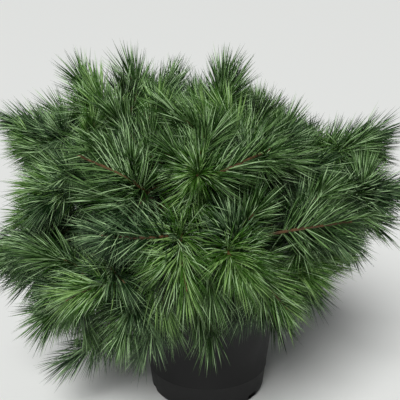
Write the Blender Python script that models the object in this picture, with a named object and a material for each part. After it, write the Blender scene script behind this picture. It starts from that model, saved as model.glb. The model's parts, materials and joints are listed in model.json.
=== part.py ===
"""Potted blue shag white pine: a dwarf, mounding pine in a black nursery pot.

The origin is the centre of the pot's flat underside, +Z is up and the photographed side faces -Y.
Each limb is one curve from the trunk to a bud: its inner half is a bough, and its outer half is the
stem of a foliage mass, which carries side shoots. A shoot is a slim core with needles drawn out of it.
"""
import math
import random
from collections import namedtuple

import bmesh
import bpy
from mathutils import Vector
from mathutils.geometry import intersect_line_line, intersect_point_line

# Driving dimensions, in metres and degrees
GAP = 0.0003

POT_HEIGHT = 0.240
POT_FOOT_RADIUS = 0.1085
POT_RIM_RADIUS = 0.1365
POT_WALL = 0.0022
POT_FOOT_ROUNDING = 0.012
POT_LIP_OUT = 0.004
POT_LIP_DEPTH = 0.014
POT_SIDES = 48
NOTCH_COUNT = 6
NOTCH_WIDTH = 0.022
NOTCH_HEIGHT = 0.013
NOTCH_FIRST_HEADING = 20.0

MIX_TOP = 0.215
MIX_BEVEL = 0.003

TRUNK_TIP = Vector((0.004, 0.010, 0.440))
TRUNK_FLARE_RADIUS = 0.034
TRUNK_FOOT_RADIUS = 0.021
TRUNK_TIP_RADIUS = 0.0085
TRUNK_FLARE_HEIGHT = 0.030
TRUNK_SWAY = 0.005
TRUNK_SIDES = 12
TRUNK_RINGS = 11

HEART = Vector((0.0, 0.0, 0.360))
LOWEST_BOUGH = 0.252
HIGHEST_BOUGH = 0.425
BOUGH_FOOT_STEP = 0.004
BOUGH_CLEARANCE = 0.0012
BOUGH_RADIUS_LOW = 0.0072
BOUGH_RADIUS_HIGH = 0.0056
BOUGH_TIP_RADIUS = 0.0042
BOUGH_SIDES = 6
BOUGH_RINGS = 6
BOUGH_SHARE = 0.50

STEM_RADIUS = 0.0042
STEM_TIP_RADIUS = 0.0036
STEM_SIDES = 4
STEM_RINGS = 4
CORE_SHARE = 0.55
CORE_RADIUS = 0.048
SMALLEST_CORE = 0.015

LEAD_LENGTH = 0.075
LEAD_ROOT = 0.012
CROWN_PATCHES = 205
LOWEST_PATCH = -38.0
PATCH_JITTER = 2.0
PATCH_CLEAR_OF_LEAD = 8.0
FIRST_STATION = 0.15
LAST_STATION = 0.90
WIDEST_PATCH = 30.0
STATION_SHIFTS = (0.0, 0.2, 0.4)
GOLDEN_ANGLE = 137.508
LONGEST_SHOOT = 0.150
SHORTEST_SHOOT = 0.055
SHOOT_RADIUS = 0.0044
SHOOT_SIDES = 3

NEEDLE_ZONE = 0.050
NEEDLE_BANDS = 2
NEEDLE_LENGTH = 0.066
NEEDLE_LEAN_BACK = 54.0
NEEDLE_LEAN_FRONT = 38.0
NEEDLE_RADIUS = 0.0012
NEEDLE_TRIM = 0.008
SHORTEST_NEEDLE = 0.024

SITE_SHARE = 0.84
NEAR = 0.24
SPACE_MARGIN = 0.0008
LIMB_MARGIN = 0.0010

# One row for each foliage mass: where its leading bud sits as seen from the crown's heart, how far
# out it is, how far its shoot turns up (+) or hangs down (-) from that line, and how far the bud
# stands proud of the side shoots' buds round it
Mass = namedtuple("Mass", "name heading rise reach tilt proud")
MASSES = [
    Mass("left_peak", 183, 47, 0.318, 17, 0.035),
    Mass("middle_peak", 166, 59, 0.276, 20, 0.040),
    Mass("crown_top", 0, 84, 0.238, 0, 0.030),
    Mass("right_shoulder", 320, 43, 0.224, 0, 0.010),
    Mass("right_arm", 358, 26, 0.325, 0, 0.075),
    Mass("right_elbow", 341, 12, 0.325, -4, 0.025),
    Mass("right_hand", 316, 4, 0.282, -12, 0.010),
    Mass("right_skirt", 318, -22, 0.238, -20, 0.000),
    Mass("front_right_high", 290, 33, 0.278, -15, 0.010),
    Mass("front_star", 279, 4, 0.322, -8, 0.005),
    Mass("front_right_skirt", 292, -17, 0.285, -22, 0.005),
    Mass("front_high", 266, 28, 0.305, -18, 0.010),
    Mass("front_low", 261, 1, 0.325, -45, 0.005),
    Mass("front_left", 246, 12, 0.322, -42, 0.005),
    Mass("front_left_high", 228, 32, 0.300, -12, 0.010),
    Mass("left_high", 182, 26, 0.365, -4, 0.030),
    Mass("left_mid", 203, 14, 0.312, -10, 0.005),
    Mass("left_low", 195, -9, 0.372, -12, 0.025),
    Mass("front_left_skirt", 214, -22, 0.345, -15, 0.010),
    Mass("front_skirt", 241, -23, 0.305, -26, 0.010),
    Mass("back_left_high", 122, 35, 0.292, 5, 0.010),
    Mass("back_right_high", 50, 36, 0.240, 8, 0.010),
    Mass("back_left", 148, 9, 0.320, -8, 0.010),
    Mass("back_mid", 100, 12, 0.318, -6, 0.010),
    Mass("back_right", 52, 6, 0.295, -6, 0.010),
    Mass("right_back", 18, -6, 0.285, -10, 0.010),
    Mass("back_left_skirt", 135, -21, 0.305, -22, 0.010),
    Mass("back_right_skirt", 74, -22, 0.285, -22, 0.010),
]
TOP_MASS = "crown_top"
LOWEST_RISE = min(mass.rise for mass in MASSES)
HIGHEST_RISE = max(mass.rise for mass in MASSES if mass.name != TOP_MASS)


def heading_and_rise(heading, rise):
    """Unit vector at a compass heading (0 = +X, 90 = +Y) and a rise above the level."""
    flat = math.cos(math.radians(rise))
    return Vector((flat * math.cos(math.radians(heading)),
                   flat * math.sin(math.radians(heading)),
                   math.sin(math.radians(rise))))


def blend(start, end, share):
    return start + (end - start) * share


def segment_distance(a, b, c, d):
    """Shortest distance between the straight segments ab and cd."""
    distances = []
    for point, start, end in ((a, c, d), (b, c, d), (c, a, b), (d, a, b)):
        near, share = intersect_point_line(point, start, end)
        near = blend(start, end, min(1.0, max(0.0, share)))
        distances.append((point - near).length)
    crossing = intersect_line_line(a, b, c, d)
    if crossing:
        inside = all(0 <= intersect_point_line(point, start, end)[1] <= 1
                     for point, start, end in ((crossing[0], a, b), (crossing[1], c, d)))
        if inside:
            distances.append((crossing[0] - crossing[1]).length)
    return min(distances)


def new_material(name, colour, roughness):
    material = bpy.data.materials.new(name)
    material.use_nodes = True
    shader = material.node_tree.nodes["Principled BSDF"]
    shader.inputs["Base Color"].default_value = (*colour, 1.0)
    shader.inputs["Roughness"].default_value = roughness
    shader.inputs["Metallic"].default_value = 0.0
    return material


def new_object(name, mesh):
    thing = bpy.data.objects.new(name, mesh)
    bpy.context.scene.collection.objects.link(thing)
    return thing


def finish(thing, material, sharp_angle=40):
    thing.data.materials.append(material)
    thing.data.shade_smooth()
    thing.data.set_sharp_from_angle(angle=math.radians(sharp_angle))


def mesh_from(bm, name):
    bmesh.ops.recalc_face_normals(bm, faces=bm.faces)
    mesh = bpy.data.meshes.new(name)
    bm.to_mesh(mesh)
    bm.free()
    return mesh


def ring_points(centre, axis, radius, sides, turn=0.0):
    """Points of a circle round an axis, turned by an angle in degrees."""
    across = axis.to_track_quat("Z", "Y")
    points = []
    for side in range(sides):
        angle = math.radians(turn) + 2 * math.pi * side / sides
        points.append(centre + across @ Vector((radius * math.cos(angle), radius * math.sin(angle), 0)))
    return points


def loft(bm, rings):
    """Bridge rings of points into a closed tube: its side faces band by band, and its tip face."""
    loops = [[bm.verts.new(point) for point in ring] for ring in rings]
    sides = len(loops[0])
    bands = []
    for lower, upper in zip(loops, loops[1:]):
        band = []
        for side in range(sides):
            following = (side + 1) % sides
            band.append(bm.faces.new((lower[side], lower[following], upper[following], upper[side])))
        bands.append(band)
    bm.faces.new(list(reversed(loops[0])))
    tip = bm.faces.new(loops[-1])
    return bands, tip


def apply_boolean(body, others, operation):
    """Join or cut with one Boolean on a collection of the others, which are then removed."""
    group = bpy.data.collections.new("others")
    bpy.context.scene.collection.children.link(group)
    for other in others:
        bpy.context.scene.collection.objects.unlink(other)
        group.objects.link(other)
    change = body.modifiers.new("boolean", "BOOLEAN")
    change.operation = operation
    change.operand_type = "COLLECTION"
    change.collection = group
    with bpy.context.temp_override(object=body, active_object=body, selected_objects=[body]):
        bpy.ops.object.modifier_apply(modifier=change.name)
    for other in others:
        bpy.data.objects.remove(other)
    bpy.data.collections.remove(group)


def keep_main_shell(body):
    """Drop loose scraps and sealed hollows: only the shell with the most points stays."""
    bm = bmesh.new()
    bm.from_mesh(body.data)
    shells = []
    unseen = set(bm.verts)
    while unseen:
        front = [unseen.pop()]
        shell = set(front)
        while front:
            for edge in front.pop().link_edges:
                for vert in unseen.intersection(edge.verts):
                    unseen.discard(vert)
                    shell.add(vert)
                    front.append(vert)
        shells.append(shell)
    shells.sort(key=len)
    for shell in shells[:-1]:
        bmesh.ops.delete(bm, geom=list(shell), context="VERTS")
    bm.to_mesh(body.data)
    bm.free()


def pot_outside(height):
    """Outside radius of the pot's plain wall, which widens evenly to the rim."""
    return POT_FOOT_RADIUS + (POT_RIM_RADIUS - POT_FOOT_RADIUS) * height / POT_HEIGHT


def turned(name, profile, material):
    """Turn a profile, given from the axis out, up and back to the axis, into a round solid."""
    bm = bmesh.new()
    verts = [bm.verts.new((radius, 0, height)) for radius, height in profile]
    for lower, upper in zip(verts, verts[1:]):
        bm.edges.new((lower, upper))
    bmesh.ops.spin(bm, geom=bm.verts[:] + bm.edges[:], cent=(0, 0, 0), axis=(0, 0, 1),
                   angle=2 * math.pi, steps=POT_SIDES, use_merge=True, use_duplicate=False)
    bmesh.ops.remove_doubles(bm, verts=bm.verts, dist=0.00005)
    thing = new_object(name, mesh_from(bm, name))
    finish(thing, material)
    return thing


def make_pot(material):
    """A moulded nursery pot: tapered wall, rounded foot, rolled lip and six drain notches."""
    profile = [(0.0, 0.0), (POT_FOOT_RADIUS - POT_FOOT_ROUNDING, 0.0)]
    for angle in (30, 60, 90):
        swing = math.radians(angle)
        inset = POT_FOOT_ROUNDING * (1 - math.sin(swing))
        height = POT_FOOT_ROUNDING * (1 - math.cos(swing))
        profile.append((pot_outside(height) - inset, height))
    lip_foot = POT_HEIGHT - POT_LIP_DEPTH
    lip_edge = 0.002
    profile.append((pot_outside(lip_foot), lip_foot))
    profile.append((pot_outside(lip_foot) + POT_LIP_OUT, lip_foot + lip_edge))
    profile.append((pot_outside(POT_HEIGHT) + POT_LIP_OUT, POT_HEIGHT - lip_edge))
    profile.append((pot_outside(POT_HEIGHT) + POT_LIP_OUT - lip_edge, POT_HEIGHT))
    profile.append((pot_outside(POT_HEIGHT) - POT_WALL, POT_HEIGHT))
    profile.append((pot_outside(POT_FOOT_ROUNDING) - POT_WALL, POT_FOOT_ROUNDING))
    profile.append((POT_FOOT_RADIUS - POT_FOOT_ROUNDING, POT_WALL))
    profile.append((0.0, POT_WALL))
    pot = turned("pot", profile, material)
    headings = [NOTCH_FIRST_HEADING + 360 * number / NOTCH_COUNT for number in range(NOTCH_COUNT)]
    apply_boolean(pot, [notch_cutter(math.radians(heading)) for heading in headings], "DIFFERENCE")


def notch_cutter(heading):
    """A block that opens the foot's rounded edge and a little of the wall above it."""
    inner = POT_FOOT_RADIUS - POT_FOOT_ROUNDING * 0.8
    outer = POT_FOOT_RADIUS + 0.010
    lowest = POT_FOOT_ROUNDING * 0.25
    bm = bmesh.new()
    bmesh.ops.create_cube(bm, size=1.0)
    bmesh.ops.scale(bm, vec=(outer - inner, NOTCH_WIDTH, NOTCH_HEIGHT), verts=bm.verts)
    bmesh.ops.translate(bm, vec=((inner + outer) / 2, 0, lowest + NOTCH_HEIGHT / 2), verts=bm.verts)
    cutter = new_object("notch", mesh_from(bm, "notch"))
    cutter.rotation_euler.z = heading
    return cutter


def make_potting_mix(material):
    """The bark potting mix that fills the pot, a hair clear of it all round and flat on top."""
    side_gap = 1.5 * GAP
    inner_foot = pot_outside(POT_FOOT_ROUNDING) - POT_WALL - side_gap
    inner_top = pot_outside(MIX_TOP) - POT_WALL - side_gap
    inner_bevel = pot_outside(MIX_TOP - MIX_BEVEL) - POT_WALL - side_gap
    floor = POT_WALL + GAP
    profile = [(0.0, floor), (POT_FOOT_RADIUS - POT_FOOT_ROUNDING - side_gap, floor),
               (inner_foot, POT_FOOT_ROUNDING), (inner_bevel, MIX_TOP - MIX_BEVEL),
               (inner_top - MIX_BEVEL, MIX_TOP), (0.0, MIX_TOP)]
    turned("potting_mix", profile, material)


def trunk_point(height):
    """Centre of the trunk at a height: it leans towards its tip and sways a little on the way."""
    share = (height - MIX_TOP) / (TRUNK_TIP.z - MIX_TOP)
    sway = TRUNK_SWAY * math.sin(math.pi * share)
    return Vector((TRUNK_TIP.x * share - sway, TRUNK_TIP.y * share + 0.5 * sway, height))


def trunk_radius(height):
    """The trunk tapers evenly to its tip, and flares where its roots go into the mix."""
    share = (height - MIX_TOP) / (TRUNK_TIP.z - MIX_TOP)
    plain = TRUNK_FOOT_RADIUS + (TRUNK_TIP_RADIUS - TRUNK_FOOT_RADIUS) * share
    flare = max(0.0, 1 - (height - MIX_TOP) / TRUNK_FLARE_HEIGHT)
    return plain + (TRUNK_FLARE_RADIUS - TRUNK_FOOT_RADIUS) * flare ** 2


def trunk_mesh(extra):
    """The trunk as a lofted tube, made fatter all round by the extra given."""
    bottom = MIX_TOP + GAP - extra
    top = TRUNK_TIP.z + extra
    rings = []
    for number in range(TRUNK_RINGS):
        share = number / (TRUNK_RINGS - 1)
        height = bottom + (top - bottom) * share ** 1.25
        radius = trunk_radius(max(height, MIX_TOP)) + extra
        rings.append(ring_points(trunk_point(height), Vector((0, 0, 1)), radius, TRUNK_SIDES))
    bm = bmesh.new()
    loft(bm, rings)
    return mesh_from(bm, "trunk")


class Limb:
    """A curve from the trunk to a leading bud, which it reaches along the bud's own direction."""

    def __init__(self, mass, foot_shift):
        self.name = mass.name
        self.surface = mass.reach - mass.proud
        self.outward = heading_and_rise(mass.heading, mass.rise)
        self.bud = HEART + mass.reach * self.outward
        self.from_tip = mass.name == TOP_MASS
        if self.from_tip:
            self.foot = TRUNK_TIP + Vector((0, 0, STEM_RADIUS * 0.2))
            self.root_radius = TRUNK_TIP_RADIUS
        else:
            share = (mass.rise - LOWEST_RISE) / (HIGHEST_RISE - LOWEST_RISE)
            height = LOWEST_BOUGH + (HIGHEST_BOUGH - LOWEST_BOUGH) * share
            self.foot = trunk_point(min(HIGHEST_BOUGH, max(LOWEST_BOUGH, height + foot_shift)))
            self.root_radius = BOUGH_RADIUS_LOW + (BOUGH_RADIUS_HIGH - BOUGH_RADIUS_LOW) * share
        span = (self.bud - self.foot).length
        self.bend = self.bud - heading_and_rise(mass.heading, mass.rise + mass.tilt) * span * 0.5
        self.stem_foot = (0.0 if self.from_tip else BOUGH_SHARE) + GAP / span
        self.lead_foot = 1 - LEAD_LENGTH / span
        self.stem_tip = self.lead_foot + LEAD_ROOT / span
        self.site = self.at(SITE_SHARE)

    def at(self, share):
        return blend(blend(self.foot, self.bend, share), blend(self.bend, self.bud, share), share)

    def on_stem(self, part):
        """Point on the mass's own stem, from 0 at its foot to 1 where the leading shoot starts."""
        return self.at(self.stem_foot + (self.lead_foot - self.stem_foot) * part)

    def tangent(self, share):
        return blend(self.bend - self.foot, self.bud - self.bend, share).normalized()

    def bough_radius(self, share):
        return self.root_radius + (BOUGH_TIP_RADIUS - self.root_radius) * share / BOUGH_SHARE

    def bough_segments(self):
        """Straight stretches of the bough outside the trunk, each with its radius."""
        if self.from_tip:
            return []
        first = 0.0
        while (self.at(first) - trunk_point(self.at(first).z)).length < trunk_radius(self.at(first).z):
            first += 0.01
        stops = [first + (BOUGH_SHARE - first) * number / 6 for number in range(7)]
        return [(self.at(start), self.at(end), self.bough_radius(start))
                for start, end in zip(stops, stops[1:])]


def boughs_clear(limb, others):
    for start, end, radius in limb.bough_segments():
        for other in others:
            for other_start, other_end, other_radius in other.bough_segments():
                needed = radius + other_radius + BOUGH_CLEARANCE
                if segment_distance(start, end, other_start, other_end) < needed:
                    return False
    return True


def grow_limbs():
    """Every limb, the lowest first: a bough leaves the trunk as near to its natural height as it
    can while it keeps clear of the boughs that are there already."""
    limbs = []
    for mass in sorted(MASSES, key=lambda mass: mass.rise):
        shifts = [0.0]
        for step in range(1, 12):
            shifts += [step * BOUGH_FOOT_STEP, -step * BOUGH_FOOT_STEP]
        for shift in shifts:
            limb = Limb(mass, shift)
            if boughs_clear(limb, limbs):
                break
        limbs.append(limb)
    return limbs


def make_bough(limb, bark):
    """One tapering bough, its root shaped to the trunk with a hair of clearance."""
    rings = []
    for number in range(BOUGH_RINGS):
        share = BOUGH_SHARE * number / (BOUGH_RINGS - 1)
        rings.append(ring_points(limb.at(share), limb.tangent(share), limb.bough_radius(share), BOUGH_SIDES))
    bm = bmesh.new()
    loft(bm, rings)
    name = "bough_" + limb.name
    bough = new_object(name, mesh_from(bm, name))
    apply_boolean(bough, [new_object("trunk_cutter", trunk_mesh(GAP))], "DIFFERENCE")
    finish(bough, bark)


class Space:
    """The room that a foliage mass may fill: nearer to its own site than to any other mass's,
    and clear of the trunk and of every bough."""

    def __init__(self, limb, limbs):
        self.planes = []
        for other in limbs:
            if other is not limb:
                away = other.site - limb.site
                self.planes.append((away.normalized(), limb.site + away / 2))
        self.obstacles = []
        for number in range(8):
            low = MIX_TOP + (TRUNK_TIP.z - MIX_TOP) * number / 8
            high = MIX_TOP + (TRUNK_TIP.z - MIX_TOP) * (number + 1) / 8
            self.obstacles.append((trunk_point(low), trunk_point(high), trunk_radius(low)))
        for other in limbs:
            self.obstacles += other.bough_segments()
        self.obstacles = [part for part in self.obstacles if (part[0] - limb.site).length < NEAR]
        self.shoots = []

    def room_along(self, start, direction):
        """How far a straight line can run from a point before it leaves the space."""
        room = 1.0
        for normal, point in self.planes:
            approach = direction.dot(normal)
            distance = (point - start).dot(normal) - SPACE_MARGIN
            if distance <= 0:
                return 0.0
            if approach > 0:
                room = min(room, distance / approach)
        return room

    def clear_of_limbs(self, start, end, radius):
        return all(segment_distance(start, end, first, second) > thickness + radius + LIMB_MARGIN
                   for first, second, thickness in self.obstacles)

    def clear_of_shoots(self, start, end, radius, own):
        return all(segment_distance(start, end, first, second) > thickness + radius
                   for owner, first, second, thickness in self.shoots if owner is not own)

    def free_radius(self, point):
        """Radius of the largest ball round a point that stays in the space and off the limbs."""
        room = min((middle - point).dot(normal) - SPACE_MARGIN for normal, middle in self.planes)
        for first, second, thickness in self.obstacles:
            room = min(room, segment_distance(point, point, first, second) - thickness - LIMB_MARGIN)
        return room


def crown_reach(direction, limbs):
    """Distance from the heart to the crown's surface of buds, blended from the leading buds."""
    total = 0.0
    weights = 0.0
    for limb in limbs:
        weight = max(0.0, direction.dot(limb.outward)) ** 24
        total += weight * limb.surface
        weights += weight
    return total / weights


class Shoot:
    def __init__(self, start, bud):
        self.start = start
        self.direction = (bud - start).normalized()
        self.length = (bud - start).length

    def at(self, distance):
        return self.start + self.direction * distance


def crown_patches(limbs):
    """Buds of the side shoots, spread over the crown's surface by a golden spiral."""
    dice = random.Random("patches")
    patches = []
    for number in range(CROWN_PATCHES):
        rise = math.degrees(math.asin(1 - 2 * (number + 0.5) / CROWN_PATCHES))
        if rise > LOWEST_PATCH:
            heading = number * GOLDEN_ANGLE + dice.uniform(-PATCH_JITTER, PATCH_JITTER)
            outward = heading_and_rise(heading, rise + dice.uniform(-PATCH_JITTER, PATCH_JITTER))
            patches.append(HEART + outward * crown_reach(outward, limbs) * dice.uniform(0.92, 1.0))
    return patches


def plan_shoots(limb, limbs, patches, space):
    """The leading shoot, and a side shoot to each patch of surface that is nearest to this mass:
    the further a patch is from the leading bud, the lower its shoot leaves the stem."""
    shoots = [Shoot(limb.on_stem(1.0), limb.bud)]
    for bud in patches:
        nearest = min(limbs, key=lambda other: (other.site - bud).length)
        away = math.degrees((bud - HEART).angle(limb.outward))
        if nearest is limb and away > PATCH_CLEAR_OF_LEAD:
            natural = LAST_STATION + (FIRST_STATION - LAST_STATION) * min(1.0, away / WIDEST_PATCH)
            choices = [Shoot(limb.on_stem(min(1.0, natural + shift)), bud) for shift in STATION_SHIFTS]
            shoots += [shoot for shoot in choices if fits(shoot, space)][:1]
    return shoots


def fits(shoot, space):
    """Shorten a shoot to its space, and say whether enough of it is left, clear of the limbs."""
    room = space.room_along(shoot.start, shoot.direction) - 2 * SHOOT_RADIUS
    shoot.length = min(shoot.length, room, LONGEST_SHOOT)
    if shoot.length < SHORTEST_SHOOT:
        return False
    return space.clear_of_limbs(shoot.at(2 * SHOOT_RADIUS), shoot.at(shoot.length), SHOOT_RADIUS)


def shoot_object(shoot, space):
    """A slim core whose side faces are drawn out into needles that lean towards the tip."""
    zone = min(NEEDLE_ZONE, shoot.length - 0.010)
    stops = [0.0]
    for number in range(NEEDLE_BANDS + 1):
        stops.append(shoot.length - zone + zone * number / NEEDLE_BANDS)
    rings = []
    for number, stop in enumerate(stops):
        turn = max(0, number - 1) * 180 / SHOOT_SIDES
        radius = SHOOT_RADIUS * (1 - 0.08 * number)
        rings.append(ring_points(shoot.at(stop), shoot.direction, radius, SHOOT_SIDES, turn))
    bm = bmesh.new()
    bands, tip = loft(bm, rings)
    for number, band in enumerate(bands[1:]):
        share = number / (NEEDLE_BANDS - 1)
        lean = NEEDLE_LEAN_BACK + (NEEDLE_LEAN_FRONT - NEEDLE_LEAN_BACK) * share
        halves = bmesh.ops.triangulate(bm, faces=band)["faces"]
        for face in halves:
            draw_needle(bm, face, shoot, lean, space)
    draw_needle(bm, tip, shoot, 0.0, space)
    return new_object("shoot", mesh_from(bm, "shoot"))


def draw_needle(bm, face, shoot, lean, space):
    """Poke a face and pull its middle out to a needle's tip, as far as there is room."""
    middle = face.calc_center_median()
    out = middle - shoot.start
    radial = (out - shoot.direction * out.dot(shoot.direction)).normalized()
    swing = math.radians(lean)
    needle = shoot.direction * math.cos(swing) + radial * math.sin(swing)
    length = min(NEEDLE_LENGTH, space.room_along(middle, needle))
    while length >= SHORTEST_NEEDLE:
        end = middle + needle * length
        clear = space.clear_of_limbs(middle, end, NEEDLE_RADIUS)
        if clear and space.clear_of_shoots(middle, end, NEEDLE_RADIUS, shoot):
            break
        length -= NEEDLE_TRIM
    if length >= SHORTEST_NEEDLE:
        poked = bmesh.ops.poke(bm, faces=[face])
        poked["verts"][0].co = middle + needle * length
        space.shoots.append((shoot, middle, middle + needle * length, NEEDLE_RADIUS))


def stem_object(limb):
    """The mass's own stem, which carries the limb on from the bough's tip or the trunk's."""
    rings = []
    for number in range(STEM_RINGS):
        along = number / (STEM_RINGS - 1)
        share = limb.stem_foot + (limb.stem_tip - limb.stem_foot) * along
        radius = STEM_RADIUS + (STEM_TIP_RADIUS - STEM_RADIUS) * along
        rings.append(ring_points(limb.at(share), limb.tangent(share), radius, STEM_SIDES))
    bm = bmesh.new()
    loft(bm, rings)
    name = "mass_" + limb.name
    return new_object(name, mesh_from(bm, name))


def core_object(limb, space):
    """The dense heart of a mass: a low faceted ball that the shoots stand out of."""
    centre = limb.on_stem(CORE_SHARE)
    radius = min(CORE_RADIUS, space.free_radius(centre))
    if radius < SMALLEST_CORE:
        return None
    bm = bmesh.new()
    bmesh.ops.create_icosphere(bm, subdivisions=1, radius=radius)
    bmesh.ops.translate(bm, vec=centre, verts=bm.verts)
    return new_object("core", mesh_from(bm, "core"))


def make_mass(limb, limbs, patches, foliage):
    """One foliage mass: stem, core and shoots joined into a single body."""
    space = Space(limb, limbs)
    shoots = plan_shoots(limb, limbs, patches, space)
    for shoot in shoots:
        space.shoots.append((shoot, shoot.at(0.25 * shoot.length), shoot.at(shoot.length), SHOOT_RADIUS))
    mass = stem_object(limb)
    parts = [shoot_object(shoot, space) for shoot in shoots]
    core = core_object(limb, space)
    if core:
        parts.append(core)
    apply_boolean(mass, parts, "UNION")
    keep_main_shell(mass)
    finish(mass, foliage, 30)


def clear_scene():
    for thing in list(bpy.data.objects):
        bpy.data.objects.remove(thing)


clear_scene()
pot_plastic = new_material("pot_plastic", (0.013, 0.013, 0.014), 0.55)
bark_mix = new_material("bark_mix", (0.045, 0.028, 0.018), 0.95)
pine_bark = new_material("pine_bark", (0.095, 0.060, 0.040), 0.85)
pine_needles = new_material("pine_needles", (0.055, 0.105, 0.050), 0.55)

make_pot(pot_plastic)
make_potting_mix(bark_mix)
finish(new_object("trunk", trunk_mesh(0.0)), pine_bark)
all_limbs = grow_limbs()
for one_limb in all_limbs:
    if not one_limb.from_tip:
        make_bough(one_limb, pine_bark)
all_patches = crown_patches(all_limbs)
for one_limb in all_limbs:
    make_mass(one_limb, all_limbs, all_patches, pine_needles)
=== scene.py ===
import json
import math
import random
from collections import namedtuple

import bmesh
import bpy
import numpy as np
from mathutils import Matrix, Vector, noise
from mathutils.geometry import intersect_line_line, intersect_point_line

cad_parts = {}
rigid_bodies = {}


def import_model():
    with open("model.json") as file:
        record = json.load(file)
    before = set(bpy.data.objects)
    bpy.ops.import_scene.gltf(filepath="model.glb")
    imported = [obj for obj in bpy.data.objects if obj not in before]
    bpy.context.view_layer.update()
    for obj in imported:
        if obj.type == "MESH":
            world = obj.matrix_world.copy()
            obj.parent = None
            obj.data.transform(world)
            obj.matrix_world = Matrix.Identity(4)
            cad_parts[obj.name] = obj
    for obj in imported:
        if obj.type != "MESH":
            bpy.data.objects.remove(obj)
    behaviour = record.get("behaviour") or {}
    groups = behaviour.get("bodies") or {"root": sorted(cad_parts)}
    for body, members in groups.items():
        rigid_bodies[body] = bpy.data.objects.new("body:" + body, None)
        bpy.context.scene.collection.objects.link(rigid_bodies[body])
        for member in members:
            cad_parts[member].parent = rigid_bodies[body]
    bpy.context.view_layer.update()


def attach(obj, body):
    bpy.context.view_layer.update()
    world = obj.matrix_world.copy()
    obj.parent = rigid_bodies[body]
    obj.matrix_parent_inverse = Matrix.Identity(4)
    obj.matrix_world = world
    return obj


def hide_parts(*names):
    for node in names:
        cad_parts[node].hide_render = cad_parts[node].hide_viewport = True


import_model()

# The nursery pot: thin black polypropylene, injection moulded, so its wall tapers to the foot to leave
# the mould. The lip is rolled outwards, the foot's edge is rounded and broken by six drain notches, and
# the whole has the fine dull grain of the mould with a little dried dust on it.
POT_HEIGHT = 0.240
POT_FOOT_RADIUS = 0.1085
POT_RIM_RADIUS = 0.1365
POT_WALL = 0.0022
POT_FOOT_ROUNDING = 0.012
POT_LIP_OUT = 0.004
POT_LIP_DEPTH = 0.014
POT_LIP_ROUNDING = 0.0018
POT_LIP_ROOT_DROP = 0.002
POT_LIP_ROOT_GAP = 0.0004
POT_LIP_ROOT_OUT = 0.0006
POT_INNER_ROUNDING = 0.001
POT_SIDES = 144
POT_RIB_HEIGHTS = (0.052, 0.188)
POT_RIB_OUT = 0.0007
POT_RIB_HALF_FOOT = 0.002
POT_RIB_HALF_TOP = 0.001
POT_SPECULAR = 0.28
NOTCH_COUNT = 6
NOTCH_WIDTH = 0.022
NOTCH_HEIGHT = 0.013
NOTCH_FIRST_HEADING = 20.0
NOTCH_DEPTH_SHARE = 0.8
NOTCH_PAST_FOOT = 0.010
NOTCH_LOWEST_SHARE = 0.25
MERGE_DISTANCE = 0.00005
MOTTLE_DETAIL = 8.0
MOTTLE_ROUGHNESS = 0.6
MOTTLE_ALL_DARK = 0.35
MOTTLE_ALL_LIGHT = 0.65
GLOSS_CHANGES_OVER = (0.3, 0.7)
GRAIN_DETAIL = 4.0


def mottled(name, dark, light, mottle, roughness, grain, grain_depth):
    """A finish whose colour and gloss wander between two values, with a finer grain in relief."""
    material = bpy.data.materials.new(name)
    material.use_nodes = True
    nodes = material.node_tree.nodes
    links = material.node_tree.links
    shader = nodes["Principled BSDF"]
    place = nodes.new("ShaderNodeTexCoord")
    patches = nodes.new("ShaderNodeTexNoise")
    patches.inputs["Scale"].default_value = mottle
    patches.inputs["Detail"].default_value = MOTTLE_DETAIL
    patches.inputs["Roughness"].default_value = MOTTLE_ROUGHNESS
    links.new(place.outputs["Object"], patches.inputs["Vector"])
    ramp = nodes.new("ShaderNodeValToRGB")
    ramp.color_ramp.elements[0].position = MOTTLE_ALL_DARK
    ramp.color_ramp.elements[0].color = (*dark, 1.0)
    ramp.color_ramp.elements[1].position = MOTTLE_ALL_LIGHT
    ramp.color_ramp.elements[1].color = (*light, 1.0)
    links.new(patches.outputs["Fac"], ramp.inputs["Fac"])
    links.new(ramp.outputs["Color"], shader.inputs["Base Color"])
    gloss = nodes.new("ShaderNodeMapRange")
    gloss.inputs["From Min"].default_value = GLOSS_CHANGES_OVER[0]
    gloss.inputs["From Max"].default_value = GLOSS_CHANGES_OVER[1]
    gloss.inputs["To Min"].default_value = roughness[0]
    gloss.inputs["To Max"].default_value = roughness[1]
    links.new(patches.outputs["Fac"], gloss.inputs["Value"])
    links.new(gloss.outputs["Result"], shader.inputs["Roughness"])
    fine = nodes.new("ShaderNodeTexNoise")
    fine.inputs["Scale"].default_value = grain
    fine.inputs["Detail"].default_value = GRAIN_DETAIL
    links.new(place.outputs["Object"], fine.inputs["Vector"])
    relief = nodes.new("ShaderNodeBump")
    relief.inputs["Distance"].default_value = grain_depth
    links.new(fine.outputs["Fac"], relief.inputs["Height"])
    links.new(relief.outputs["Normal"], shader.inputs["Normal"])
    return material


def place_piece(name, mesh, materials, nodes, sharp=None):
    """Put a finished mesh in the scene: it rides with the plant and stands for the nodes named."""
    piece = bpy.data.objects.new(name, mesh)
    bpy.context.scene.collection.objects.link(piece)
    for material in materials:
        mesh.materials.append(material)
    if sharp is not None:
        mesh.shade_smooth()
        mesh.set_sharp_from_angle(angle=math.radians(sharp))
    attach(piece, "root")
    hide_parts(*nodes)
    return piece


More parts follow.
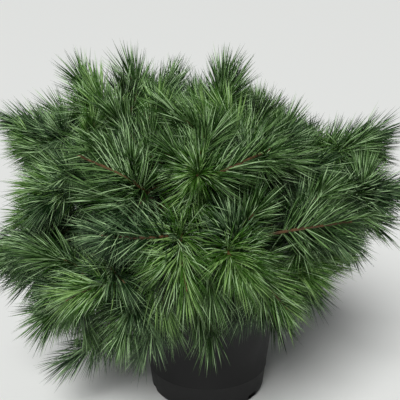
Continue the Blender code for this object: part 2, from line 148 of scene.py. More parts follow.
def turned(name, profile, sides):
    """A round shell turned from a profile that runs from the axis out, up and back to the axis."""
    bm = bmesh.new()
    verts = [bm.verts.new((radius, 0, height)) for radius, height in profile]
    for lower, upper in zip(verts, verts[1:]):
        bm.edges.new((lower, upper))
    bmesh.ops.spin(bm, geom=bm.verts[:] + bm.edges[:], cent=(0, 0, 0), axis=(0, 0, 1),
                   angle=2 * math.pi, steps=sides, use_merge=True, use_duplicate=False)
    bmesh.ops.remove_doubles(bm, verts=bm.verts, dist=MERGE_DISTANCE)
    bmesh.ops.recalc_face_normals(bm, faces=bm.faces)
    mesh = bpy.data.meshes.new(name)
    bm.to_mesh(mesh)
    bm.free()
    return mesh


def pot_outside(height):
    return POT_FOOT_RADIUS + (POT_RIM_RADIUS - POT_FOOT_RADIUS) * height / POT_HEIGHT


def rounded_corner(radius, height, size, first, last, steps=5):
    """Points of a rounded corner about a centre, from one angle to another in degrees."""
    angles = [math.radians(first + (last - first) * step / steps) for step in range(steps + 1)]
    return [(radius + size * math.cos(angle), height + size * math.sin(angle)) for angle in angles]


def pot_profile():
    lip_foot = POT_HEIGHT - POT_LIP_DEPTH
    foot = pot_outside(POT_FOOT_ROUNDING) - POT_FOOT_ROUNDING
    points = [(0.0, 0.0)]
    points += rounded_corner(foot, POT_FOOT_ROUNDING, POT_FOOT_ROUNDING, -90, 0, steps=8)
    for rib in POT_RIB_HEIGHTS:
        points.append((pot_outside(rib - POT_RIB_HALF_FOOT), rib - POT_RIB_HALF_FOOT))
        points.append((pot_outside(rib) + POT_RIB_OUT, rib - POT_RIB_HALF_TOP))
        points.append((pot_outside(rib) + POT_RIB_OUT, rib + POT_RIB_HALF_TOP))
        points.append((pot_outside(rib + POT_RIB_HALF_FOOT), rib + POT_RIB_HALF_FOOT))
    points.append((pot_outside(lip_foot - POT_LIP_ROOT_DROP), lip_foot - POT_LIP_ROOT_DROP))
    points.append((pot_outside(lip_foot) + POT_LIP_ROOT_OUT, lip_foot - POT_LIP_ROOT_GAP))
    lip_radius = pot_outside(lip_foot) + POT_LIP_OUT - POT_LIP_ROUNDING
    points += rounded_corner(lip_radius, lip_foot + POT_LIP_ROUNDING, POT_LIP_ROUNDING, -90, 0)
    top_radius = pot_outside(POT_HEIGHT) + POT_LIP_OUT - POT_LIP_ROUNDING
    points += rounded_corner(top_radius, POT_HEIGHT - POT_LIP_ROUNDING, POT_LIP_ROUNDING, 0, 90)
    inner_top = pot_outside(POT_HEIGHT) - POT_WALL
    points += rounded_corner(inner_top + POT_INNER_ROUNDING, POT_HEIGHT - POT_INNER_ROUNDING,
                             POT_INNER_ROUNDING, 90, 180, steps=3)
    points.append((pot_outside(POT_FOOT_ROUNDING) - POT_WALL, POT_FOOT_ROUNDING))
    points.append((POT_FOOT_RADIUS - POT_FOOT_ROUNDING, POT_WALL))
    points.append((0.0, POT_WALL))
    return points


def cut_notches(pot):
    """Open the rounded foot with drain notches, as the mould's fingers leave them."""
    inner = POT_FOOT_RADIUS - POT_FOOT_ROUNDING * NOTCH_DEPTH_SHARE
    outer = POT_FOOT_RADIUS + NOTCH_PAST_FOOT
    lowest = POT_FOOT_ROUNDING * NOTCH_LOWEST_SHARE
    group = bpy.data.collections.new("notches")
    bpy.context.scene.collection.children.link(group)
    for number in range(NOTCH_COUNT):
        bm = bmesh.new()
        bmesh.ops.create_cube(bm, size=1.0)
        bmesh.ops.scale(bm, vec=(outer - inner, NOTCH_WIDTH, NOTCH_HEIGHT), verts=bm.verts)
        bmesh.ops.translate(bm, vec=((inner + outer) / 2, 0, lowest + NOTCH_HEIGHT / 2), verts=bm.verts)
        mesh = bpy.data.meshes.new("notch")
        bm.to_mesh(mesh)
        bm.free()
        cutter = bpy.data.objects.new("notch", mesh)
        cutter.rotation_euler.z = math.radians(NOTCH_FIRST_HEADING + 360 * number / NOTCH_COUNT)
        group.objects.link(cutter)
    change = pot.modifiers.new("notches", "BOOLEAN")
    change.operation = "DIFFERENCE"
    change.operand_type = "COLLECTION"
    change.collection = group
    with bpy.context.temp_override(object=pot, active_object=pot, selected_objects=[pot]):
        bpy.ops.object.modifier_apply(modifier=change.name)
    for cutter in list(group.objects):
        bpy.data.objects.remove(cutter)
    bpy.data.collections.remove(group)


black_plastic = mottled("black_plastic", dark=(0.0045, 0.0045, 0.0047), light=(0.0085, 0.0085, 0.0087),
                        mottle=16.0, roughness=(0.50, 0.68), grain=1400.0, grain_depth=0.00012)
plastic_shader = black_plastic.node_tree.nodes["Principled BSDF"]
plastic_shader.inputs["Specular IOR Level"].default_value = POT_SPECULAR
nursery_pot = place_piece("nursery_pot", turned("nursery_pot", pot_profile(), POT_SIDES),
                          [black_plastic], ["pot"], sharp=40)
cut_notches(nursery_pot)

# The potting mix: coarse, moist, composted bark that fills the pot to just under its lip. Its top is
# uneven and strewn with loose chips, each a thin slab that has settled at its own angle.
MIX_TOP = 0.215
MIX_SIDE_GAP = 0.00045
MIX_ROUGHNESS = 0.0035
MIX_SINK_SHARE = 0.4
MIX_TOP_BAND = 0.001
MIX_RINGS = 44
MIX_SIDES = 120
MOUNDS_PER_METRE = 25
MOUND_SHARE = 0.7
MOUND_SLICE = 3.0
LUMPS_PER_METRE = 130
LUMP_SHARE = 0.5
LUMP_SLICE = 7.0
CHIP_SEED = 11
CHIP_COUNT = 1500
CHIP_EDGE_GAP = 0.008
CHIP_FREE_MIDDLE = 0.04
CHIP_LIFT = (0.0, 0.0022)
CHIP_LENGTHS = (0.004, 0.013)
CHIP_HALF_WIDTHS = (0.2, 0.4)
CHIP_HALF_DEPTHS = (0.0006, 0.0018)
CHIP_UNEVENNESS = (0.65, 1.1)
CHIP_TIPPING = 0.35
# The six faces of a slab whose corners are numbered by x, then y, then z
SLAB_FACES = [(0, 1, 3, 2), (4, 6, 7, 5), (0, 4, 5, 1), (2, 3, 7, 6), (0, 2, 6, 4), (1, 5, 7, 3)]


def mesh_from_arrays(name, points, corners, sizes, tints=None):
    """A mesh from its points, the corners of all its faces in a row, and each face's corner count."""
    mesh = bpy.data.meshes.new(name)
    mesh.vertices.add(len(points))
    mesh.vertices.foreach_set("co", np.asarray(points, np.float32).ravel())
    mesh.loops.add(len(corners))
    mesh.loops.foreach_set("vertex_index", np.asarray(corners, np.int32))
    mesh.polygons.add(len(sizes))
    starts = np.concatenate(([0], np.cumsum(sizes)[:-1]))
    mesh.polygons.foreach_set("loop_start", starts.astype(np.int32))
    if tints is not None:
        mesh.polygons.foreach_set("material_index", np.asarray(tints, np.int32))
    mesh.update(calc_edges=True)
    mesh.validate()
    return mesh


def mix_height(x, y):
    """How far the mix's surface stands above or below its mean level at a point."""
    mounds = noise.noise(Vector((x * MOUNDS_PER_METRE, y * MOUNDS_PER_METRE, MOUND_SLICE)))
    lumps = noise.noise(Vector((x * LUMPS_PER_METRE, y * LUMPS_PER_METRE, LUMP_SLICE)))
    return MIX_ROUGHNESS * (MOUND_SHARE * mounds + LUMP_SHARE * lumps)


def make_mix(material):
    edge = pot_outside(MIX_TOP) - POT_WALL - MIX_SIDE_GAP
    foot = pot_outside(POT_FOOT_ROUNDING) - POT_WALL - MIX_SIDE_GAP
    floor = POT_WALL + MIX_SIDE_GAP
    profile = [(0.0, floor), (POT_FOOT_RADIUS - POT_FOOT_ROUNDING, floor), (foot, POT_FOOT_ROUNDING)]
    profile += [(edge * ring / MIX_RINGS, MIX_TOP) for ring in range(MIX_RINGS, -1, -1)]
    mesh = turned("bark_mix", profile, MIX_SIDES)
    for vert in mesh.vertices:
        if vert.co.z > MIX_TOP - MIX_TOP_BAND:
            vert.co.z += mix_height(vert.co.x, vert.co.y) - MIX_ROUGHNESS * MIX_SINK_SHARE
    return place_piece("bark_mix", mesh, [material], ["potting_mix"], sharp=60)


def make_chips(materials):
    dice = np.random.default_rng(CHIP_SEED)
    edge = pot_outside(MIX_TOP) - POT_WALL - CHIP_EDGE_GAP
    points, corners, tints = [], [], []
    for number in range(CHIP_COUNT):
        radius = edge * math.sqrt(dice.uniform(CHIP_FREE_MIDDLE, 1.0))
        heading = dice.uniform(0, 2 * math.pi)
        centre = np.array([radius * math.cos(heading), radius * math.sin(heading), 0.0])
        centre[2] = MIX_TOP + mix_height(centre[0], centre[1]) + dice.uniform(*CHIP_LIFT)
        length = dice.uniform(*CHIP_LENGTHS)
        half_width = length * dice.uniform(*CHIP_HALF_WIDTHS)
        half = np.array([length / 2, half_width, dice.uniform(*CHIP_HALF_DEPTHS)])
        box = np.array([(x, y, z) for x in (-1, 1) for y in (-1, 1) for z in (-1, 1)]) * half
        box *= dice.uniform(*CHIP_UNEVENNESS, box.shape)
        turn = dice.uniform(0, 2 * math.pi)
        tip = dice.normal(0, CHIP_TIPPING)
        flat = np.array([[math.cos(turn), -math.sin(turn), 0],
                         [math.sin(turn), math.cos(turn), 0],
                         [0, 0, 1]])
        tilt = np.array([[math.cos(tip), 0, math.sin(tip)],
                         [0, 1, 0],
                         [-math.sin(tip), 0, math.cos(tip)]])
        points.append(box @ tilt.T @ flat.T + centre)
        corners += [index + len(box) * number for face in SLAB_FACES for index in face]
        tints += [int(dice.integers(len(materials)))] * len(SLAB_FACES)
    sizes = [len(face) for face in SLAB_FACES] * CHIP_COUNT
    mesh = mesh_from_arrays("bark_chips", np.concatenate(points), corners, sizes, tints)
    return place_piece("bark_chips", mesh, materials, [])


moist_bark = mottled("moist_bark", dark=(0.012, 0.008, 0.005), light=(0.050, 0.030, 0.018),
                     mottle=120.0, roughness=(0.75, 0.98), grain=700.0, grain_depth=0.0006)
dry_chip = mottled("dry_chip", dark=(0.060, 0.036, 0.021), light=(0.140, 0.090, 0.055),
                   mottle=150.0, roughness=(0.75, 0.95), grain=900.0, grain_depth=0.0004)
dark_chip = mottled("dark_chip", dark=(0.020, 0.012, 0.008), light=(0.070, 0.040, 0.024),
                    mottle=150.0, roughness=(0.70, 0.95), grain=900.0, grain_depth=0.0004)
make_mix(moist_bark)
make_chips([moist_bark, dry_chip, dark_chip])

# The trunk: one short woody stem, flared where its roots go down into the mix, which tapers and leans
# a little on its way up through the crown. Its bark is thin and grey-brown, split into long low plates.
TRUNK_TIP = Vector((0.004, 0.010, 0.440))
TRUNK_FLARE_RADIUS = 0.034
TRUNK_FOOT_RADIUS = 0.021
TRUNK_TIP_RADIUS = 0.0085
TRUNK_FLARE_HEIGHT = 0.030
TRUNK_SWAY = 0.005
TRUNK_SWAY_BACK = 0.5
TRUNK_SUNK = 0.002
TRUNK_ROWS = 90
TRUNK_ROW_CROWDING = 1.1
TRUNK_SIDES = 64
BARK_DEPTH = 0.10
PLATE_LEVEL = 0.55
PLATES_ROUND = 4.0
PLATES_ASIDE_PER_METRE = 30
PLATES_UP_PER_METRE = 60
GRAIN_SHARE = 0.35
GRAIN_ROUND = 11.0
GRAIN_PER_METRE = 160
SWELLING_SHARE = 0.05
SWELLINGS_ROUND = 0.8
SWELLINGS_PER_METRE = 22


def trunk_point(height):
    share = (height - MIX_TOP) / (TRUNK_TIP.z - MIX_TOP)
    sway = TRUNK_SWAY * math.sin(math.pi * share)
    return Vector((TRUNK_TIP.x * share - sway, TRUNK_TIP.y * share + TRUNK_SWAY_BACK * sway, height))


def trunk_radius(height):
    share = (height - MIX_TOP) / (TRUNK_TIP.z - MIX_TOP)
    plain = TRUNK_FOOT_RADIUS + (TRUNK_TIP_RADIUS - TRUNK_FOOT_RADIUS) * share
    flare = max(0.0, 1 - (height - MIX_TOP) / TRUNK_FLARE_HEIGHT)
    return plain + (TRUNK_FLARE_RADIUS - TRUNK_FOOT_RADIUS) * flare ** 2


def tube(path, radii, sides, relief=None):
    """Points, corners and face sizes of a closed tube along a path, with an optional relief."""
    path = np.array([tuple(point) for point in path])
    along = np.gradient(path, axis=0)
    along /= np.linalg.norm(along, axis=1)[:, None]
    chord = path[-1] - path[0]
    guide = np.eye(3)[np.argmin(np.abs(chord))]
    across = np.cross(guide, along)
    across /= np.linalg.norm(across, axis=1)[:, None]
    over = np.cross(along, across)
    angles = 2 * math.pi * np.arange(sides) / sides
    ring = across[:, None] * np.cos(angles)[None, :, None] + over[:, None] * np.sin(angles)[None, :, None]
    reach = np.repeat(np.asarray(radii, float)[:, None], sides, axis=1)
    if relief:
        reach = reach * relief(path, angles)
    points = (path[:, None] + ring * reach[:, :, None]).reshape(-1, 3)
    rows = len(path)
    here = np.arange(sides)
    following = (here + 1) % sides
    corners = []
    for row in range(rows - 1):
        low = row * sides
        quad = np.stack([low + here, low + following, low + sides + following, low + sides + here], axis=1)
        corners.append(quad.ravel())
    corners += [here[::-1], (rows - 1) * sides + here]
    sizes = [4] * ((rows - 1) * sides) + [sides, sides]
    return points, np.concatenate(corners), sizes


def join_tubes(name, tubes, tints=None):
    """Many tubes as one mesh, with a tint number for each tube."""
    points, corners, sizes, numbers = [], [], [], []
    shift = 0
    for order, (its_points, its_corners, its_sizes) in enumerate(tubes):
        points.append(its_points)
        corners.append(its_corners + shift)
        sizes += its_sizes
        numbers += [tints[order] if tints else 0] * len(its_sizes)
        shift += len(its_points)
    return mesh_from_arrays(name, np.concatenate(points), np.concatenate(corners), sizes, numbers)


def bark_relief(path, angles):
    """Long plates with narrow splits between them, and a few swellings along the limb."""
    rows = []
    for point in path:
        row = []
        for angle in angles:
            x, y = math.cos(angle), math.sin(angle)
            plate = noise.noise(Vector((x * PLATES_ROUND + point[0] * PLATES_ASIDE_PER_METRE,
                                        y * PLATES_ROUND + point[1] * PLATES_ASIDE_PER_METRE,
                                        point[2] * PLATES_UP_PER_METRE)))
            grain = noise.noise(Vector((x * GRAIN_ROUND, y * GRAIN_ROUND,
                                        point[2] * GRAIN_PER_METRE + point[0] * GRAIN_PER_METRE)))
            swell = noise.noise(Vector((x * SWELLINGS_ROUND, y * SWELLINGS_ROUND,
                                        point[2] * SWELLINGS_PER_METRE + point[0] * SWELLINGS_PER_METRE)))
            split = -abs(plate) ** 0.5
            relief = BARK_DEPTH * (PLATE_LEVEL + split + GRAIN_SHARE * grain)
            row.append(1.0 + relief + SWELLING_SHARE * swell)
        rows.append(row)
    return np.array(rows)


def make_trunk(material):
    bottom = MIX_TOP - TRUNK_SUNK
    rises = [(row / (TRUNK_ROWS - 1)) ** TRUNK_ROW_CROWDING for row in range(TRUNK_ROWS)]
    heights = [bottom + (TRUNK_TIP.z - bottom) * rise for rise in rises]
    path = [trunk_point(height) for height in heights]
    radii = [trunk_radius(max(height, MIX_TOP)) for height in heights]
    mesh = join_tubes("trunk_bark", [tube(path, radii, TRUNK_SIDES, bark_relief)])
    return place_piece("trunk_bark", mesh, [material], ["trunk"], sharp=50)


old_bark = mottled("old_bark", dark=(0.035, 0.022, 0.015), light=(0.135, 0.098, 0.070),
                   mottle=90.0, roughness=(0.72, 0.95), grain=520.0, grain_depth=0.0007)
make_trunk(old_bark)

# The boughs: young limbs that leave the trunk all round and curve out to their masses. Each is where
# its solid is: the lowest were set first, and each next one starts at the height that keeps it clear.
HEART = Vector((0.0, 0.0, 0.360))
LOWEST_BOUGH = 0.252
HIGHEST_BOUGH = 0.425
BOUGH_FOOT_STEP = 0.004
BOUGH_CLEARANCE = 0.0012
BOUGH_RADIUS_LOW = 0.0072
BOUGH_RADIUS_HIGH = 0.0056
BOUGH_TIP_RADIUS = 0.0042
BOUGH_SHARE = 0.50
BOUGH_FOOT_TRIES = 11
BOUGH_LEAVES_STEP = 0.01
BOUGH_SEGMENTS = 6
BOUGH_ROWS = 36
BOUGH_SIDES = 18
Mass = namedtuple("Mass", "name heading rise reach tilt proud")
MASSES = [
    Mass("left_peak", 183, 47, 0.318, 17, 0.035),
    Mass("middle_peak", 166, 59, 0.276, 20, 0.040),
    Mass("crown_top", 0, 84, 0.238, 0, 0.030),
    Mass("right_shoulder", 320, 43, 0.224, 0, 0.010),
    Mass("right_arm", 358, 26, 0.325, 0, 0.075),
    Mass("right_elbow", 341, 12, 0.325, -4, 0.025),
    Mass("right_hand", 316, 4, 0.282, -12, 0.010),
    Mass("right_skirt", 318, -22, 0.238, -20, 0.000),
    Mass("front_right_high", 290, 33, 0.278, -15, 0.010),
    Mass("front_star", 279, 4, 0.322, -8, 0.005),
    Mass("front_right_skirt", 292, -17, 0.285, -22, 0.005),
    Mass("front_high", 266, 28, 0.305, -18, 0.010),
    Mass("front_low", 261, 1, 0.325, -45, 0.005),
    Mass("front_left", 246, 12, 0.322, -42, 0.005),
    Mass("front_left_high", 228, 32, 0.300, -12, 0.010),
    Mass("left_high", 182, 26, 0.365, -4, 0.030),
    Mass("left_mid", 203, 14, 0.312, -10, 0.005),
    Mass("left_low", 195, -9, 0.372, -12, 0.025),
    Mass("front_left_skirt", 214, -22, 0.345, -15, 0.010),
    Mass("front_skirt", 241, -23, 0.305, -26, 0.010),
    Mass("back_left_high", 122, 35, 0.292, 5, 0.010),
    Mass("back_right_high", 50, 36, 0.240, 8, 0.010),
    Mass("back_left", 148, 9, 0.320, -8, 0.010),
    Mass("back_mid", 100, 12, 0.318, -6, 0.010),
    Mass("back_right", 52, 6, 0.295, -6, 0.010),
    Mass("right_back", 18, -6, 0.285, -10, 0.010),
    Mass("back_left_skirt", 135, -21, 0.305, -22, 0.010),
    Mass("back_right_skirt", 74, -22, 0.285, -22, 0.010),
]
TOP_MASS = "crown_top"
LOWEST_RISE = min(mass.rise for mass in MASSES)
HIGHEST_RISE = max(mass.rise for mass in MASSES if mass.name != TOP_MASS)


def heading_and_rise(heading, rise):
    flat = math.cos(math.radians(rise))
    return Vector((flat * math.cos(math.radians(heading)),
                   flat * math.sin(math.radians(heading)),
                   math.sin(math.radians(rise))))


def blend(start, end, share):
    return start + (end - start) * share


def segment_distance(a, b, c, d):
    """Shortest distance between the straight segments ab and cd."""
    distances = []
    for point, start, end in ((a, c, d), (b, c, d), (c, a, b), (d, a, b)):
        near, share = intersect_point_line(point, start, end)
        near = blend(start, end, min(1.0, max(0.0, share)))
        distances.append((point - near).length)
    crossing = intersect_line_line(a, b, c, d)
    if crossing:
        inside = all(0 <= intersect_point_line(point, start, end)[1] <= 1
                     for point, start, end in ((crossing[0], a, b), (crossing[1], c, d)))
        if inside:
            distances.append((crossing[0] - crossing[1]).length)
    return min(distances)


class Limb:
    """A curve from the trunk to a leading bud: a bough to half way, then the stem of a mass."""

    def __init__(self, mass, foot_shift):
        self.name = mass.name
        self.surface = mass.reach - mass.proud
        self.proud = mass.proud
        self.outward = heading_and_rise(mass.heading, mass.rise)
        self.bud = HEART + mass.reach * self.outward
        self.from_tip = mass.name == TOP_MASS
        if self.from_tip:
            self.foot = TRUNK_TIP.copy()
            self.root_radius = TRUNK_TIP_RADIUS
        else:
            share = (mass.rise - LOWEST_RISE) / (HIGHEST_RISE - LOWEST_RISE)
            height = LOWEST_BOUGH + (HIGHEST_BOUGH - LOWEST_BOUGH) * share
            self.foot = trunk_point(min(HIGHEST_BOUGH, max(LOWEST_BOUGH, height + foot_shift)))
            self.root_radius = BOUGH_RADIUS_LOW + (BOUGH_RADIUS_HIGH - BOUGH_RADIUS_LOW) * share
        self.span = (self.bud - self.foot).length
        self.bend = self.bud - heading_and_rise(mass.heading, mass.rise + mass.tilt) * self.span / 2

    def at(self, share):
        return blend(blend(self.foot, self.bend, share), blend(self.bend, self.bud, share), share)

    def tangent(self, share):
        return blend(self.bend - self.foot, self.bud - self.bend, share).normalized()

    def bough_radius(self, share):
        return self.root_radius + (BOUGH_TIP_RADIUS - self.root_radius) * share / BOUGH_SHARE

    def bough_segments(self):
        if self.from_tip:
            return []
        first = 0.0
        while (self.at(first) - trunk_point(self.at(first).z)).length < trunk_radius(self.at(first).z):
            first += BOUGH_LEAVES_STEP
        stops = [first + (BOUGH_SHARE - first) * number / BOUGH_SEGMENTS
                 for number in range(BOUGH_SEGMENTS + 1)]
        return [(self.at(start), self.at(end), self.bough_radius(start))
                for start, end in zip(stops, stops[1:])]


def boughs_clear(limb, others):
    for start, end, radius in limb.bough_segments():
        for other in others:
            for other_start, other_end, other_radius in other.bough_segments():
                needed = radius + other_radius + BOUGH_CLEARANCE
                if segment_distance(start, end, other_start, other_end) < needed:
                    return False
    return True


def grow_limbs():
    grown = []
    for mass in sorted(MASSES, key=lambda mass: mass.rise):
        shifts = [0.0]
        for step in range(1, BOUGH_FOOT_TRIES + 1):
            shifts += [step * BOUGH_FOOT_STEP, -step * BOUGH_FOOT_STEP]
        for shift in shifts:
            limb = Limb(mass, shift)
            if boughs_clear(limb, grown):
                break
        grown.append(limb)
    return grown


def make_boughs(limbs, material):
    tubes = []
    names = []
    for limb in limbs:
        if not limb.from_tip:
            shares = [BOUGH_SHARE * row / (BOUGH_ROWS - 1) for row in range(BOUGH_ROWS)]
            path = [limb.at(share) for share in shares]
            radii = [limb.bough_radius(share) for share in shares]
            tubes.append(tube(path, radii, BOUGH_SIDES, bark_relief))
            names.append("bough_" + limb.name)
    mesh = join_tubes("bough_bark", tubes)
    return place_piece("bough_bark", mesh, [material], names, sharp=50)


limbs = grow_limbs()
make_boughs(limbs, old_bark)

# The shoots: from each bough's end its limb runs on as a thin stem to the leading bud, and side shoots
# leave it for patches of the crown. More of them brush out round the arms' buds or lie along the front.
# Their young bark is brown, more orange on the outer ones, and each ends in a pointed, scaly bud.
STEM_RADII = (0.0041, 0.0019)
SHOOT_RADII = (0.0029, 0.0020)
LEAD_LENGTH = 0.105
OUTER_PATCHES = 235
INNER_PATCHES = 220
LOWEST_PATCH = -25.0
SKIRT_HEADING = 214.0
SKIRT_DROP = 14.0
SWINGS = (0.20, 0.70)
PATCH_JITTER = 3.5
OUTER_REACH = (0.83, 0.99)
INNER_REACH = (0.52, 0.80)
FIRST_STATION = 0.10
LAST_STATION = 0.92
WIDEST_PATCH = 30.0
UPPER_LIFT = -0.30
LOWER_FALL = 0.12
FRONT_FALL = 0.26
GOLDEN_ANGLE = 137.508
LONGEST_SHOOT = 0.190
NEAREST_SHARE = 0.84
OUTER_STATIONS = 0.85
INNER_STATIONS = 0.7
UPPER_CROWN = 0.02
STEM_ROWS = 17
STEM_SIDES = 8
SHOOT_ROWS = 8
SHOOT_SIDES = 6
BUD_LENGTH = 0.007
BUD_RADIUS = 0.0019
BUD_STATIONS = (-0.3, 0.15, 0.6, 1.0)
BUD_SHOULDER = 0.75
BUD_POINT = 0.0002
CROWN_FOCUS = 24
SWELL_FOCUS = 16
Swell = namedtuple("Swell", "heading rise change")
SWELLS = [Swell(10, 45, -0.16), Swell(201, -27, 0.20), Swell(358, 14, 0.12), Swell(179, 29, 0.07)]
BRUSH_PROUD = 0.025
BRUSH_SHOOTS = 5
BRUSH_SPAN = 0.110
BRUSH_BACK = (0.020, 0.060)
BRUSH_ASIDE = (0.018, 0.042)
BRUSH_ABOVE = -0.5
BRUSH_LEVEL = 0.6
BRUSH_TURN = 0.6
BRUSH_TOP = 0.3
BRUSH_BOW = 0.012
# The photograph's view, as fitted to the pot: its place, its tilt from straight down, and its lens
CAMERA_PLACE = Vector((-0.015, -1.306, 0.803))
CAMERA_TILT = 72.0
CAMERA_LENS = 67.2
CAMERA_SENSOR = 36.0
PHOTO_SIDE = 400
SIGHT_RANGE = (0.7, 1.6)
SIGHT_STEP = 0.002
# Shoots that the photograph shows one by one: the pixels, across and down, where each comes to the
# surface and where its bud is. The front's lie along the crown. The peaks' stand up, each at its own y.
FrontShoot = namedtuple("FrontShoot", "name surfacing bud tint")
FRONT_SHOOTS = [
    FrontShoot("above_the_middle", (207, 180), (268, 150), "leaf"),
    FrontShoot("right_side", (300, 228), (350, 222), "leaf"),
    FrontShoot("middle_hanging", (178, 246), (186, 288), "fresh"),
    FrontShoot("right_of_middle", (224, 252), (241, 274), "fresh"),
    FrontShoot("upper_left", (128, 176), (80, 156), "leaf"),
    FrontShoot("left_of_middle", (146, 240), (104, 236), "blue"),
    FrontShoot("lower_left", (94, 280), (68, 300), "fresh"),
    FrontShoot("lower_right", (266, 286), (286, 308), "fresh"),
]
FRONT_SURFACING_PROUD = 0.022
FRONT_BUD_PROUD = 0.030
FRONT_STARTS_BACK = 0.30
FRONT_NEAREST_SHARE = 0.8
FRONT_LEAVES_SHARE = 0.72
PeakShoot = namedtuple("PeakShoot", "name surfacing bud bud_y tint")
PEAK_SHOOTS = [
    PeakShoot("left_peak", (108, 120), (96, 90), -0.045, "fresh"),
    PeakShoot("middle_peak", (134, 118), (137, 88), -0.040, "leaf"),
    PeakShoot("right_of_top", (222, 112), (231, 84), -0.010, "leaf"),
]
PEAK_LEANS_BACK = 0.030
Shoot = namedtuple("Shoot", "limb start bend bud inner tint")


def crown_reach(direction):
    """Distance from the heart to the crown's surface of buds, blended from the leading buds and then
    let out or taken in on the sides where the crown is fuller or thinner than they say."""
    total = 0.0
    weights = 0.0
    for limb in limbs:
        weight = max(0.0, direction.dot(limb.outward)) ** CROWN_FOCUS
        total += weight * limb.surface
        weights += weight
    swell = 1.0
    for side in SWELLS:
        nearness = max(0.0, direction.dot(heading_and_rise(side.heading, side.rise)))
        swell += side.change * nearness ** SWELL_FOCUS
    return swell * total / weights


def crown_patches(count, reach, dice):
    """Buds spread over the crown by a golden spiral, at a share of the surface's own reach."""
    patches = []
    for number in range(count):
        rise = math.degrees(math.asin(1 - 2 * (number + 0.5) / count))
        heading = number * GOLDEN_ANGLE + dice.uniform(-PATCH_JITTER, PATCH_JITTER)
        lean_left = max(0.0, math.cos(math.radians(heading - SKIRT_HEADING)))
        if rise > LOWEST_PATCH - SKIRT_DROP * lean_left:
            outward = heading_and_rise(heading, rise + dice.uniform(-PATCH_JITTER, PATCH_JITTER))
            patches.append(HEART + outward * crown_reach(outward) * dice.uniform(*reach))
    return patches


def shoot_at(shoot, share):
    return blend(blend(shoot.start, shoot.bend, share), blend(shoot.bend, shoot.bud, share), share)


def side_shoot(bud, inner, dice):
    """A shoot to a patch from the nearest limb, lower on its stem the further aside the patch is.
    It sets out askew and swings round, upwards in the upper crown and downwards below, most at the
    front. Of a very long one, only the end is made, and it starts clear of its limb."""
    limb = min(limbs, key=lambda other: (other.at(NEAREST_SHARE) - bud).length)
    away = math.degrees((bud - HEART).angle(limb.outward))
    station = LAST_STATION + (FIRST_STATION - LAST_STATION) * min(1.0, away / WIDEST_PATCH)
    share = BOUGH_SHARE + (1 - BOUGH_SHARE) * station * (INNER_STATIONS if inner else OUTER_STATIONS)
    start = limb.at(share)
    if (bud - start).length > LONGEST_SHOOT:
        start = bud + (start - bud).normalized() * LONGEST_SHOOT
    length = (bud - start).length
    turn = dice.uniform(0, 2 * math.pi)
    across = (bud - start).to_track_quat("Z", "Y") @ Vector((math.cos(turn), math.sin(turn), 0))
    fall = LOWER_FALL + FRONT_FALL * max(0.0, -(bud - HEART).normalized().y)
    lift = Vector((0, 0, UPPER_LIFT if bud.z > HEART.z + UPPER_CROWN else fall))
    bend = blend(start, bud, 0.5) + (across * dice.uniform(*SWINGS) + lift) * length
    return Shoot(limb, start, bend, bud, inner, None)


def brush_shoots(limb, dice):
    """Shoots close round a leading bud that stands out of the crown, which fill its brush. One that
    would stand above the bud is set nearer to it, on its other side."""
    found = []
    along = limb.tangent(1.0)
    start = limb.at(1 - BRUSH_SPAN / limb.span)
    for number in range(BRUSH_SHOOTS):
        turn = 2 * math.pi * (number + dice.uniform(0, BRUSH_TURN)) / BRUSH_SHOOTS
        across = along.to_track_quat("Z", "Y") @ Vector((math.cos(turn), math.sin(turn), 0))
        aside = dice.uniform(*BRUSH_ASIDE) * (BRUSH_ABOVE if across.z > BRUSH_TOP else 1.0)
        bud = limb.bud - along * dice.uniform(*BRUSH_BACK) + across * aside
        bend = blend(start, bud, 0.5) + across * BRUSH_BOW
        found.append(Shoot(limb, start, bend, bud, False, None))
    return found


def line_of_sight(pixel):
    """How far a line from the camera through a pixel goes for each metre along the camera's axis."""
    tilt = math.radians(CAMERA_TILT)
    ahead = Vector((0, math.sin(tilt), -math.cos(tilt)))
    right = Vector((1, 0, 0))
    up = Vector((0, math.cos(tilt), math.sin(tilt)))
    one_pixel = CAMERA_SENSOR / CAMERA_LENS / PHOTO_SIDE
    across, down = (place - PHOTO_SIDE / 2 for place in pixel)
    return ahead + right * across * one_pixel - up * down * one_pixel


def to_millimetres(point):
    return Vector([round(value, 3) for value in point])


def seen_on_crown(pixel, proud):
    """The first point in sight through a pixel that is less than this far out of the crown's surface."""
    sight = line_of_sight(pixel).normalized()
    for distance in np.arange(*SIGHT_RANGE, SIGHT_STEP):
        point = CAMERA_PLACE + sight * distance
        outward = point - HEART
        if outward.length < crown_reach(outward.normalized()) + proud:
            return to_millimetres(point)
    raise ValueError("no foliage at pixel %d, %d" % pixel)


def seen_at_y(pixel, y):
    """The point in sight through a pixel at this y."""
    sight = line_of_sight(pixel)
    return to_millimetres(CAMERA_PLACE + sight * ((y - CAMERA_PLACE.y) / sight.y))


def surfacing_shoot(surfacing, bud, tint):
    """A shoot that comes to the surface at one point and runs on in sight to its bud."""
    limb = min(limbs, key=lambda other: (other.at(FRONT_NEAREST_SHARE) - surfacing).length)
    bend = surfacing + (surfacing - bud) * FRONT_STARTS_BACK
    return Shoot(limb, limb.at(FRONT_LEAVES_SHARE), bend, bud, False, tint)


